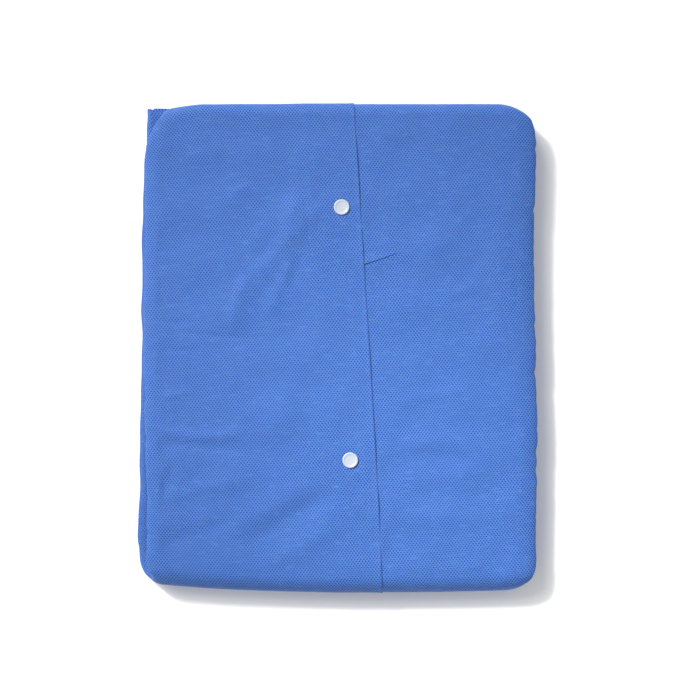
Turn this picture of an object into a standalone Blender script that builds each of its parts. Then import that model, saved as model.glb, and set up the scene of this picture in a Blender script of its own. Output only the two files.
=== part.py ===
"""Disposable lab coat of thin nonwoven cloth, folded to a flat pack with its front up.

The coat's sides and sleeves are folded to the back, which leaves a band about 0.3 m wide. The band
is folded in thirds like a letter: the collar third goes under first, then the hem third under that.
So a lengthwise cut shows one thick band that runs C, A, B: the collar third C lies in the middle,
the middle third A on top with the closure and two snaps, and the hem third B at the bottom.

Every piece is worked out on that band. A station is a place along the folded path, with the
direction in which the band's outer side faces. A section is a cut across the band at a station.

+X is the wearer's left, +Y is where the collar end of the top third folds under, and +Z is up.
Lengths below are in millimetres and become metres when a mesh is made.
"""

import math

import bmesh
import bpy
import numpy as np

MM = 0.001

# The folded band
HALF_THICK = 4.5
SLAB_GAP = 0.3
PITCH = 2 * HALF_THICK + SLAB_GAP
HEM_Z = HALF_THICK
COLLAR_Z = HEM_Z + PITCH
TOP_Z = COLLAR_Z + PITCH
TOP_FACE = TOP_Z + HALF_THICK
NORTH_END = 188.0
SOUTH_END = -188.0
NORTH_RADIUS = PITCH / 2
SOUTH_RADIUS = PITCH
HEM_SHORT = 5.0

# The cloth walls
WALL = 1.2
SEAM_GAP = 0.3
BUTT_GAP = 0.6
WRAP_ANGLE = 140.0
NORTH_WRAP_ANGLE = 112.0
CORE_TUCK = 1.5

# The hem's layered end: each step is this long, and keeps this share of the layers' thickness
LAYER_STEP = 2.4
HEM_LAYERS = (0.72, 0.42, 0.2)

# The closure
FACING_WIDTH = 46.0
STEP_WIDTH = 9.0
UNDERLAP = 36.0
CLOSURE_SIDE = 7.0
CLOSURE_SLOPE = 0.056

# Soft shape of the whole pack
CROWN = 2.4
SOUTH_BOW = 4.6
SOUTH_BOW_MIDDLE = 28.0

# The snaps: caps 12 mm across on the closure
SNAP_RADIUS = 6.0
SNAP_HEIGHT = 1.5
SNAP_RIM = 1.3
SNAP_DISH = 0.45
UPPER_SNAP = (1.5, 107.6)
LOWER_SNAP = (8.1, -86.3)
SNAP_FLAT = 13.0

# Side outlines in plan. Columns: place along Y, left edge and right edge of the top third,
# left edge and right edge of the two thirds under it.
OUTLINE = (
    (-190.0, -151.0, 152.0, -155.5, 151.0),
    (-160.0, -151.7, 151.7, -157.6, 150.6),
    (-120.0, -150.9, 151.7, -155.5, 150.8),
    (-60.0, -152.4, 152.3, -154.8, 151.2),
    (20.0, -152.0, 150.5, -153.5, 149.6),
    (90.0, -150.2, 150.2, -153.2, 149.0),
    (160.0, -149.4, 151.7, -151.2, 150.2),
    (190.0, -147.6, 151.0, -149.6, 150.0),
)

# How deep the side folds round in from the edge. Columns: third, outer half at the left edge, outer
# half at the right edge, inner half at both.
ROLLS = {"top": (9.0, 13.0, 5.0), "hem": (6.5, 6.5, 5.0), "collar": (5.0, 5.0, 5.0)}

# How far each corner draws in where the band folds, and over what length. Columns: amount and reach
# at the left, amount and reach at the right.
CORNERS = {"north": (15.0, 22.0, 9.0, 15.0), "south": (6.0, 15.0, 11.0, 15.0)}
HEM_CORNER = 13.0
HEM_CORNER_REACH = 9.0
HEM_CORNER_LENGTH = 20.0
HEM_CORNER_STEPS = np.array([13.0, 8.0, 4.0, 0.0])
COLLAR_CORNER = 8.0
COLLAR_CORNER_REACH = 16.0

# The overlapping front edge. Columns: travel down the front from the middle, place along X.
CLOSURE_EDGE = (
    (-189.0, 11.6),
    (-126.0, 15.5),
    (-65.0, 19.3),
    (-17.0, 22.4),
    (80.0, 28.3),
    (137.0, 31.5),
    (190.0, 33.6),
)

# The largest soft creases of the top third. Columns: start X and Y, end X and Y, rise, half breadth.
CREASES = (
    (-22.0, 100.0, -69.0, 60.0, 1.3, 8.0),
    (-69.0, 60.0, -84.0, 18.0, 1.2, 8.0),
    (-94.0, 106.0, -71.0, 124.0, 0.9, 7.0),
    (-142.0, -64.0, -84.0, -72.0, 1.1, 8.0),
    (-84.0, -72.0, -60.0, -61.0, 1.1, 8.0),
    (-112.0, -166.0, -34.0, -118.0, 1.1, 9.0),
    (-132.0, -128.0, -62.0, -98.0, 0.9, 9.0),
    (-50.0, -174.0, 10.0, -140.0, 0.9, 8.0),
    (50.0, -48.0, 118.0, -34.0, 0.9, 8.0),
    (44.0, -92.0, 128.0, -74.0, 1.0, 9.0),
    (52.0, -134.0, 126.0, -118.0, 0.9, 8.0),
    (62.0, 66.0, 132.0, 92.0, 0.9, 9.0),
)

# How many steps each stretch of the path takes
FOLD_STEP = 22.5
TOP_STEPS = 31
CORE_TOP_STEPS = (0, 1, 2, 3, 4, 6, 9, 13, 17, 21, 25, 28, 29, 30)
HEM_STEPS = 6
COLLAR_STEPS = 12


def smooth(edge_0, edge_1, value):
    """0 before edge_0, 1 past edge_1, and an even S curve between them."""
    t = np.clip((value - edge_0) / (edge_1 - edge_0), 0.0, 1.0)
    return t * t * (3.0 - 2.0 * t)


def station(y, z, facing, travel, third):
    """One place on the band's middle line. facing is the outer side's angle from +Y to +Z."""
    return {"y": y, "z": z, "facing": math.radians(facing), "travel": travel, "third": third}


def north_fold(first, last):
    """The fold between the collar third and the top third; facing runs from -90 to 90."""
    rows = []
    centre = NORTH_END - NORTH_RADIUS - HALF_THICK
    for facing in np.arange(first, last + 1.0, FOLD_STEP):
        turn = math.radians(facing)
        y = centre + NORTH_RADIUS * math.cos(turn)
        z = TOP_Z - NORTH_RADIUS + NORTH_RADIUS * math.sin(turn)
        outer = NORTH_RADIUS + HALF_THICK
        rows.append(station(y, z, facing, -centre - outer * math.radians(90 - facing), "north"))
    return rows


def top_run(steps):
    """The top third, from the north fold to the south fold."""
    start = NORTH_END - NORTH_RADIUS - HALF_THICK
    end = SOUTH_END + SOUTH_RADIUS + HALF_THICK
    return [station(y, TOP_Z, 90.0, -y, "top") for y in np.linspace(start, end, steps)]


def south_fold(first, last):
    """The fold between the top third and the hem third; facing runs from 90 to 270."""
    rows = []
    centre = SOUTH_END + SOUTH_RADIUS + HALF_THICK
    for facing in np.arange(first, last + 1.0, FOLD_STEP):
        turn = math.radians(facing)
        y = centre + SOUTH_RADIUS * math.cos(turn)
        z = TOP_Z - SOUTH_RADIUS + SOUTH_RADIUS * math.sin(turn)
        outer = SOUTH_RADIUS + HALF_THICK
        rows.append(station(y, z, facing, -centre + outer * math.radians(facing - 90), "south"))
    return rows


def hem_run(end, steps):
    """The hem third, from the south fold to its free edge, with closer steps at that edge's corner."""
    start = SOUTH_END + SOUTH_RADIUS + HALF_THICK
    gone = -start + (SOUTH_RADIUS + HALF_THICK) * math.pi
    places = np.concatenate([np.linspace(start, end - HEM_CORNER_LENGTH, steps), end - HEM_CORNER_STEPS])
    return [station(y, HEM_Z, 270.0, gone + y - start, "hem") for y in places]


def collar_run(start, steps):
    """The collar third, from its rounded end inside the south fold to the north fold."""
    end = NORTH_END - NORTH_RADIUS - HALF_THICK
    gone = -end - (NORTH_RADIUS + HALF_THICK) * math.pi
    return [station(y, COLLAR_Z, -90.0, gone - end + y, "collar") for y in np.linspace(start, end, steps)]


def side_edges(row):
    """The left and right edges of the band's outer surface at a station."""
    y_column, top_left, top_right, low_left, low_right = (np.array(c) for c in zip(*OUTLINE))
    low = {"top": 0.0, "collar": 1.0, "hem": 1.0}.get(row["third"])
    if row["third"] == "north":
        low = 1.0 - smooth(-70.0, 40.0, math.degrees(row["facing"]))
    if row["third"] == "south":
        low = smooth(120.0, 250.0, math.degrees(row["facing"]))
    left = np.interp(row["y"], y_column, top_left * (1.0 - low) + low_left * low)
    right = np.interp(row["y"], y_column, top_right * (1.0 - low) + low_right * low)
    for end, tip, place in (("north", 0.0, NORTH_END), ("south", 180.0, SOUTH_END)):
        radius = (NORTH_RADIUS if end == "north" else SOUTH_RADIUS) + HALF_THICK
        if row["third"] == end:
            away = abs(math.degrees(row["facing"]) - tip) * math.pi / 180.0 * radius
        else:
            away = radius * math.pi / 2 + max(abs(row["y"] - place) - radius, 0.0)
        left_draw, left_reach, right_draw, right_reach = CORNERS[end]
        if row["third"] != "hem" or end == "south":
            left += left_draw * math.exp(-((away / left_reach) ** 2))
            right -= right_draw * math.exp(-((away / right_reach) ** 2))
    if row["third"] == "hem":
        right -= HEM_CORNER * math.exp(-(((NORTH_END - row["y"]) / HEM_CORNER_REACH) ** 2))
    if row["third"] == "collar":
        away = row["y"] - (SOUTH_END + SOUTH_RADIUS)
        draw = COLLAR_CORNER * math.exp(-((away / COLLAR_CORNER_REACH) ** 2))
        left += draw
        right -= draw
    return float(left), float(right)


def roll_depths(row):
    """The side folds' depths at a station, blended from one third to the next round a fold."""
    if row["third"] in ROLLS:
        return np.array(ROLLS[row["third"]])
    facing = math.degrees(row["facing"])
    if row["third"] == "north":
        share, before = float(smooth(-90.0, 90.0, facing)), "collar"
    else:
        share, before = float(smooth(270.0, 90.0, facing)), "hem"
    return np.array(ROLLS["top"]) * share + np.array(ROLLS[before]) * (1.0 - share)


def wrap_turns(row):
    """Angles round a side fold that a front's wall reaches to, less where the north fold is tight."""
    reach = WRAP_ANGLE
    if row["third"] == "north":
        share = float(smooth(-45.0, 90.0, math.degrees(row["facing"])))
        reach = NORTH_WRAP_ANGLE + (WRAP_ANGLE - NORTH_WRAP_ANGLE) * share
    return np.linspace(0.0, reach, 7)


def closure_x(travel):
    """Where the right front's edge lies, on along the same line past the ends of its table."""
    place, across = (np.array(c) for c in zip(*CLOSURE_EDGE))
    past = max(travel - place[-1], 0.0) - max(place[0] - travel, 0.0)
    return float(np.interp(travel, place, across)) + CLOSURE_SLOPE * past


def lap_height(row):
    """How far the right front stands out over the left front; 0 on the underside, which is flat."""
    if row["third"] == "hem":
        return 0.0
    turned = math.degrees(row["facing"]) if row["third"] == "south" else 90.0
    return (WALL + SEAM_GAP) * (1.0 - float(smooth(128.0, 176.0, turned)))


def underlap(row):
    """How far the left front reaches under the right front's edge; short of that edge below."""
    if row["third"] == "hem":
        return -BUTT_GAP
    turned = math.degrees(row["facing"]) if row["third"] == "south" else 90.0
    return UNDERLAP - (UNDERLAP + BUTT_GAP) * float(smooth(92.0, 126.0, turned))


def crease_height(x, y):
    """Rise of the soft creases, each a ridge along a line, with even sides and tapered ends."""
    rise = np.zeros_like(x)
    for x_0, y_0, x_1, y_1, height, breadth in CREASES:
        along_x, along_y = x_1 - x_0, y_1 - y_0
        t = ((x - x_0) * along_x + (y - y_0) * along_y) / (along_x**2 + along_y**2)
        t = np.clip(t, 0.0, 1.0)
        away = (x - x_0 - t * along_x) ** 2 + (y - y_0 - t * along_y) ** 2
        rise += height * np.exp(-away / breadth**2)
    for x_0, y_0 in (UPPER_SNAP, LOWER_SNAP):
        rise *= smooth(SNAP_FLAT, 2 * SNAP_FLAT, np.hypot(x - x_0, y - y_0))
    return rise


def settle(points):
    """The soft shape of the pack: a low crown, and a south end that bows out in its middle."""
    x, y, z = points.T
    crown = CROWN * np.clip(1 - (x / 153.0) ** 4, 0, 1) * np.clip(1 - (y / 189.0) ** 4, 0, 1)
    bow = SOUTH_BOW * ((x - SOUTH_BOW_MIDDLE) / 150.0) ** 2 * smooth(-110.0, -180.0, y)
    return np.stack([x, y + bow, z + crown * z / TOP_FACE], axis=1)


def place_across(row, across, height):
    """Points of a section: across is X, height is out from the band's middle line."""
    y = row["y"] + height * math.cos(row["facing"])
    z = row["z"] + height * math.sin(row["facing"])
    return np.stack([across, y, z], axis=1)


def roll(edge, depths, side, angles, half_thick):
    """The rounded side fold at one edge, read at angles from the outer face: two quarter ellipses."""
    turn = np.radians(angles)
    depth = np.where(angles > 90.0, depths[1], depths[0])
    return edge - side * depth * (1.0 - np.sin(turn)), half_thick * np.cos(turn)


def right_front_section(row):
    """Outer face of the right front, from its tucked side fold to the edge that laps over."""
    left, _ = side_edges(row)
    outer, _, inner_half = roll_depths(row)
    edge = closure_x(row["travel"])
    turns = wrap_turns(row)[::-1]
    rolled, rolled_height = roll(left, (outer, inner_half), -1.0, turns, HALF_THICK)
    inner = edge - FACING_WIDTH - STEP_WIDTH / 2
    plain = np.linspace(left + outer, inner, 13)[1:]
    strip = edge - np.array([FACING_WIDTH, FACING_WIDTH - STEP_WIDTH / 2, 28.0, 14.0, 0.0])
    flat = np.concatenate([plain, strip])
    lap = lap_height(row) * smooth(inner, inner + STEP_WIDTH, flat)
    across = np.concatenate([rolled, flat])
    height = np.concatenate([rolled_height, HALF_THICK + lap])
    return across, height


def left_front_section(row):
    """Outer face of the left front, from its hidden edge under the lap to its tucked side fold."""
    _, right = side_edges(row)
    _, outer, inner_half = roll_depths(row)
    edge = closure_x(row["travel"])
    strip = np.linspace(edge - underlap(row), edge + CLOSURE_SIDE, 4)[:-1]
    plain = np.linspace(edge + CLOSURE_SIDE, right - outer, 12)
    turns = wrap_turns(row)
    rolled, rolled_height = roll(right, (outer, inner_half), 1.0, turns, HALF_THICK)
    across = np.concatenate([strip, plain, rolled[1:]])
    height = np.concatenate([np.full(len(strip) + len(plain), HALF_THICK), rolled_height[1:]])
    return across, height


def front_stations():
    """Where the fronts show: round the north fold, along the top, round the south fold and under."""
    rows = north_fold(-45.0, 67.5)
    rows += top_run(TOP_STEPS)
    rows += south_fold(112.5, 247.5)
    rows += hem_run(NORTH_END - HEM_SHORT, HEM_STEPS)
    return rows


def front_points(section, clear_of_lap):
    """A front's outer face as a grid of points, one row for each station."""
    grid = []
    for row in front_stations():
        across, height = section(row)
        points = place_across(row, across, height)
        if row["third"] == "top":
            rise = crease_height(points[:, 0], points[:, 1])
            if clear_of_lap:
                edge = closure_x(row["travel"])
                rise *= smooth(edge + 2.0, edge + 12.0, across)
            points[:, 2] += rise
        grid.append(settle(points))
    return np.array(grid)


def core_stations():
    """The whole band, from the collar third's rounded end to the hem third's square end."""
    inside = SOUTH_END + SOUTH_RADIUS + HALF_THICK
    rows = []
    for turn in (78.0, 50.0, 25.0):
        row = station(inside - HALF_THICK * math.sin(math.radians(turn)), COLLAR_Z, -90.0, -700.0, "collar")
        rows.append(row | {"thin": math.cos(math.radians(turn))})
    rows += collar_run(inside, COLLAR_STEPS)
    rows += north_fold(-67.5, 67.5)
    rows += [row for k, row in enumerate(top_run(TOP_STEPS)) if k in CORE_TOP_STEPS]
    rows += south_fold(112.5, 247.5)
    rows += hem_run(NORTH_END - HEM_SHORT - LAYER_STEP * len(HEM_LAYERS), 6)
    last = rows[-1]
    for count, left_over in enumerate(HEM_LAYERS):
        start = last["y"] + LAYER_STEP * count
        for y in (start + SEAM_GAP, start + LAYER_STEP):
            travel = last["travel"] + y - last["y"]
            rows.append(station(y, HEM_Z, 270.0, travel, "hem") | {"left_over": left_over})
    return rows


def core_section(row):
    """A closed ring round the band at a station, drawn in where the fronts' cloth covers it; at the
    layered hem end only the outer share of its thickness is left."""
    covered = 1.0
    if row["third"] == "collar":
        covered = 0.0
    if row["third"] == "north":
        covered = float(smooth(-90.0, -66.0, math.degrees(row["facing"])))
    left, right = side_edges(row)
    inset = (WALL + SEAM_GAP) * covered
    thick = (HALF_THICK - inset) * row.get("thin", 1.0)
    share = row.get("left_over", 1.0)
    drawn_in = inset + CORE_TUCK * covered + (1.0 - share) * ROLLS["hem"][0]
    left += drawn_in
    right -= drawn_in
    turns = np.linspace(0.0, 180.0, 9)
    left_depth, right_depth, inner_half = roll_depths(row) - inset
    right_x, right_h = roll(right, (right_depth, inner_half), 1.0, turns, thick)
    left_x, left_h = roll(left, (left_depth, inner_half), -1.0, turns[::-1], thick)
    over = np.linspace(left_x[-1], right_x[0], 11)[1:-1]
    under = np.linspace(right_x[-1], left_x[0], 11)[1:-1]
    across = np.concatenate([right_x, under, left_x, over])
    height = np.concatenate([right_h, np.full(9, -thick), left_h, np.full(9, thick)])
    return across, thick - (thick - height) * share


def new_material(name, colour, roughness):
    """A plain Principled material."""
    material = bpy.data.materials.new(name)
    material.use_nodes = True
    shader = material.node_tree.nodes["Principled BSDF"]
    shader.inputs["Base Color"].default_value = (*colour, 1.0)
    shader.inputs["Roughness"].default_value = roughness
    shader.inputs["Metallic"].default_value = 0.0
    return material


def new_object(name, collection, material):
    """An empty mesh object with its material."""
    mesh = bpy.data.meshes.new(name)
    mesh.materials.append(material)
    thing = bpy.data.objects.new(name, mesh)
    collection.objects.link(thing)
    return thing


def skin(thing, grid, closed):
    """Faces between the rows of a grid; closed joins each row into a ring and caps both ends."""
    shape = bmesh.new()
    rows = [[shape.verts.new(point * MM) for point in row] for row in grid]
    for first, second in zip(rows, rows[1:]):
        pairs = list(zip(first, second))
        if closed:
            pairs.append(pairs[0])
        for (a, b), (d, c) in zip(pairs, pairs[1:]):
            shape.faces.new((a, b, c, d))
    if closed:
        shape.faces.new(rows[0])
        shape.faces.new(rows[-1][::-1])
    bmesh.ops.recalc_face_normals(shape, faces=shape.faces)
    shape.to_mesh(thing.data)
    shape.free()
    thing.data.shade_smooth()


def outward(thing, grid):
    """Turns an open face so that the middle of the top third looks up."""
    normals = [face.normal.z for face in thing.data.polygons if face.center.z > TOP_FACE * MM * 0.9]
    if sum(normals) < 0:
        thing.data.flip_normals()


def make_front(name, collection, material, grid):
    """A cloth wall: its outer face, with the thickness added inside."""
    thing = new_object(name, collection, material)
    skin(thing, grid, False)
    outward(thing, grid)
    wall = thing.modifiers.new("Wall", "SOLIDIFY")
    wall.thickness = WALL * MM
    wall.offset = -1.0
    wall.use_even_offset = True
    wall.use_rim = True
    return thing


def make_core(name, collection, material, grid):
    """The hidden layers as one closed solid."""
    thing = new_object(name, collection, material)
    skin(thing, grid, True)
    return thing


def make_snap(name, collection, material, spot, height):
    """A turned cap: a flat dish inside a rounded rim, on a flat underside."""
    profile = (
        (0.0, SNAP_HEIGHT - SNAP_DISH),
        (SNAP_RADIUS - 2 * SNAP_RIM, SNAP_HEIGHT - SNAP_DISH),
        (SNAP_RADIUS - 1.45 * SNAP_RIM, SNAP_HEIGHT - 0.12),
        (SNAP_RADIUS - 0.9 * SNAP_RIM, SNAP_HEIGHT),
        (SNAP_RADIUS - 0.4 * SNAP_RIM, SNAP_HEIGHT - 0.1),
        (SNAP_RADIUS, SNAP_HEIGHT * 0.6),
        (SNAP_RADIUS, SNAP_HEIGHT * 0.2),
        (SNAP_RADIUS - 0.3, 0.0),
        (0.0, 0.0),
    )
    thing = new_object(name, collection, material)
    shape = bmesh.new()
    points = [shape.verts.new((radius * MM, 0.0, z * MM)) for radius, z in profile]
    for first, second in zip(points, points[1:]):
        shape.edges.new((first, second))
    shape.to_mesh(thing.data)
    shape.free()
    turn = thing.modifiers.new("Turn", "SCREW")
    turn.axis = "Z"
    turn.steps = 24
    turn.render_steps = 24
    turn.use_merge_vertices = True
    turn.merge_threshold = 0.00001
    turn.use_normal_calculate = True
    thing.data.shade_smooth()
    thing.location = (spot[0] * MM, spot[1] * MM, height * MM)
    return thing


def cap_height(spot):
    """Height of the cloth's outer face under a snap, with a seam's gap."""
    points = np.array([[spot[0], spot[1], TOP_FACE + WALL + SEAM_GAP]])
    return float(settle(points)[0, 2]) + SEAM_GAP


def main():
    for thing in list(bpy.data.objects):
        bpy.data.objects.remove(thing, do_unlink=True)
    collection = bpy.data.collections.new("lab_coat")
    bpy.context.scene.collection.children.link(collection)

    blue = new_material("blue_nonwoven", (0.105, 0.245, 0.640), 0.62)
    under_blue = new_material("blue_nonwoven_left", (0.115, 0.262, 0.660), 0.62)
    inner_blue = new_material("blue_nonwoven_inner", (0.090, 0.215, 0.590), 0.66)
    white = new_material("white_snap_plastic", (0.66, 0.72, 0.80), 0.35)
    other_white = new_material("white_snap_plastic_lower", (0.66, 0.72, 0.80), 0.35)

    right_grid = front_points(right_front_section, False)
    left_grid = front_points(left_front_section, True)
    core_grid = []
    for row in core_stations():
        across, height = core_section(row)
        core_grid.append(settle(place_across(row, across, height)))
    core_grid = np.array(core_grid)

    every = np.concatenate([g.reshape(-1, 3) for g in (right_grid, left_grid, core_grid)])
    middle = (every.min(axis=0) + every.max(axis=0)) / 2
    middle[2] = 0.0
    make_front("right_front", collection, blue, right_grid - middle)
    make_front("left_front", collection, under_blue, left_grid - middle)
    make_core("folded_layers", collection, inner_blue, core_grid - middle)
    for name, spot, material in (
        ("upper_snap_cap", UPPER_SNAP, white),
        ("lower_snap_cap", LOWER_SNAP, other_white),
    ):
        centred = (spot[0] - middle[0], spot[1] - middle[1])
        make_snap(name, collection, material, centred, cap_height(spot))
    print("middle of the outline, mm:", [round(float(v), 3) for v in middle])


main()
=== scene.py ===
"""The finish of the folded disposable lab coat: its nonwoven cloth, soft creases and snap caps.

Lengths in the tables and shape functions are in millimetres on the pattern: X across the front,
Y up the front towards the collar, and travel down the cloth round its folds. make_surface turns
them into metres in the coat's own frame.
"""

import math

import bpy
import numpy as np
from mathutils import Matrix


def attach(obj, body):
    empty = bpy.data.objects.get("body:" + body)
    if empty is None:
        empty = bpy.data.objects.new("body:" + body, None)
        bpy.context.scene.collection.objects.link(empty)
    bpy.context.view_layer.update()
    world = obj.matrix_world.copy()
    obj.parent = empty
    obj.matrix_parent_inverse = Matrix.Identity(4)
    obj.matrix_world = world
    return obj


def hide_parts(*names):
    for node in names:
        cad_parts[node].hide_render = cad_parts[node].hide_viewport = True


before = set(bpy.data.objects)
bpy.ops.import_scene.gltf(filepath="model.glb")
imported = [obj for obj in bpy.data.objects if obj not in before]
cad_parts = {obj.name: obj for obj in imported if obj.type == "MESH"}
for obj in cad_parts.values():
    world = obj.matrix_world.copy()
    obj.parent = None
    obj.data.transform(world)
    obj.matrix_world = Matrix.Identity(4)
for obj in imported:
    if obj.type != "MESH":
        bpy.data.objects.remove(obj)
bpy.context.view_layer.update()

MM = 0.001

# The middle of the coat's outline on the pattern
OUTLINE_MIDDLE = np.array([-2.202, 0.754, 0.0])

# The folded band: three thirds on each other, and the two folds between them
HALF_THICK = 4.5
BAND_GAP = 0.3
PITCH = 2 * HALF_THICK + BAND_GAP
HEM_Z = HALF_THICK
COLLAR_Z = HEM_Z + PITCH
TOP_Z = COLLAR_Z + PITCH
TOP_FACE = TOP_Z + HALF_THICK
NORTH_END = 188.0
SOUTH_END = -188.0
NORTH_RADIUS = PITCH / 2
SOUTH_RADIUS = PITCH
NORTH_CENTRE = NORTH_END - NORTH_RADIUS - HALF_THICK
SOUTH_CENTRE = SOUTH_END + SOUTH_RADIUS + HALF_THICK
NORTH_OUTER = NORTH_RADIUS + HALF_THICK
SOUTH_OUTER = SOUTH_RADIUS + HALF_THICK
COLLAR_START = -NORTH_CENTRE - NORTH_OUTER * math.pi
HEM_START = -SOUTH_CENTRE + SOUTH_OUTER * math.pi
HEM_SHORT = 5.0
HEM_EDGE = HEM_START + NORTH_END - HEM_SHORT - SOUTH_CENTRE

# The wall of the cloth, and where its own flat coordinates start, in metres, so that all are positive
CLOTH = 0.45
CLOTH_ORIGIN = np.array([0.3, 0.65])

# The right front's edge, which laps over the left front: the facing under it, its rolled edge, and
# the travel where the lap begins to flatten out under the coat
LAP = 0.55
FACING_WIDTH = 46.0
FACING_SOFTNESS = 11.0
SEAM_DEPTH = 0.06
SEAM_PLACE = 4.0
SEAM_BREADTH = 1.6
EDGE_DROP = 0.35
EDGE_DROP_BREADTH = 0.7
EDGE_BEAD = 0.2
EDGE_BEAD_PLACE = 1.3
EDGE_COLUMNS = (1.6, 1.2, 0.8, 0.5, 0.25, 0.08, 0.0)
LAP_END = HEM_START - 28.0
CLOSURE_SLOPE = 0.056
CLOSURE_SHIFT = 0.35

# The left front beside and under that edge
UNDERLAP = 36.0
BUTT_GAP = 0.3
BESIDE_EDGE = 1.5
EDGE_HOLLOW = 0.05
STRIP_DROP = 0.9

# The soft shape of the whole pack
EDGE_WOBBLE = 0.4
HALF_WIDTH = 150.0
CROWN = 2.4
CROWN_REACH_X = 153.0
CROWN_REACH_Y = 189.0
SOUTH_BOW = 4.6
SOUTH_BOW_MIDDLE = 28.0
SOUTH_BOW_POWER = 2.6
SOUTH_BULGE = 1.4
SOUTH_REACH = (-110.0, -180.0)
NORTH_REACH = (140.0, 184.0)
NORTH_DROP = 4.8
NORTH_DROP_START = -106.0
NORTH_DROP_RUN = 32.0
NORTH_DROP_RIGHT = 3.4
NORTH_DROP_RIGHT_REACH = (123.0, 142.0)
HEM_SLANT = 2.6
HEM_TOP = (10.0, 8.6)

# The side folds: how far the fronts' cloth goes on along the inner face, and how it is pressed in
INNER_REACH = 8.0
HEM_INNER_REACH = 28.0
INNER_COLUMNS = (0.15, 0.35, 0.6, 0.8, 1.0)
PRESS = 0.3
PRESS_LIMIT = 1.3
PRESS_GIRTH = 6.0
PRESS_SLANT = 2.1

# Rows and columns of the fronts' grids
TRAVEL_PITCH = 1.75
TUCKED_TURN = 135.0
HEM_ROWS = 70
RIGHT_COLUMNS = 86
STRIP_COLUMNS = 14
LEFT_COLUMNS = 70
FOLD_COLUMNS = 23
CREASE_STEPS = 9

# Uneven ripples. Columns: seed, number of waves, shortest and longest wave, rise.
LEFT_WOBBLE = (21, 6, 14.0, 70.0, 1.0)
RIGHT_WOBBLE = (22, 6, 14.0, 70.0, 1.0)
SLOW_WAVES = (7, 9, 38.0, 110.0, 0.36)
FINE_WAVES = (11, 14, 9.0, 26.0, 0.05)
FACING_WANDER = (3, 4, 20.0, 60.0, 1.0)

# The same without a seed, which each side or layer has of its own, counted up from the first
PRESS_WAVES = (12, 9.0, 46.0, 0.3)
REACH_WAVES = (5, 25.0, 120.0, 0.35)
LIFT_WAVES = (5, 18.0, 90.0, 0.12)
PRESS_SEED = 30
REACH_SEED = 40
LIFT_SEED = 60
LAYER_SEED = 5

# Side outlines. Columns: Y, left and right edge of the top third, left and right of those below.
# The two go over into each other round the folds, between these facing angles.
NORTH_BLEND = (-70.0, 40.0)
SOUTH_BLEND = (120.0, 250.0)
OUTLINE = (
    (-190.0, -149.0, 152.0, -155.5, 151.0),
    (-160.0, -148.8, 151.7, -157.6, 150.6),
    (-120.0, -148.6, 151.7, -155.5, 150.8),
    (-60.0, -150.4, 152.3, -154.8, 151.2),
    (20.0, -151.2, 150.5, -153.5, 149.6),
    (90.0, -150.2, 150.2, -153.2, 149.0),
    (160.0, -149.4, 151.7, -151.2, 150.2),
    (190.0, -147.6, 151.0, -149.6, 150.0),
)

# Side folds' depths. Columns: outer half at the left, outer half at the right, inner half.
ROLL_TOP = (11.0, 18.0, 5.0)
ROLL_HEM = (6.5, 6.5, 5.0)
ROLL_COLLAR = (5.0, 5.0, 5.0)

# How far each corner draws in. Columns: amount and reach at the left, amount and reach at the right.
CORNER_NORTH = (12.0, 20.0, 9.0, 15.0)
CORNER_SOUTH = (6.0, 15.0, 11.0, 15.0)
HEM_CORNER = (13.0, 9.0)
COLLAR_CORNER = (8.0, 16.0)

# The right front's edge. Columns: travel, X.
CLOSURE_EDGE = (
    (-189.0, 11.6),
    (-126.0, 15.5),
    (-65.0, 19.3),
    (-17.0, 22.4),
    (80.0, 28.3),
    (137.0, 31.5),
    (190.0, 33.6),
)

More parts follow.
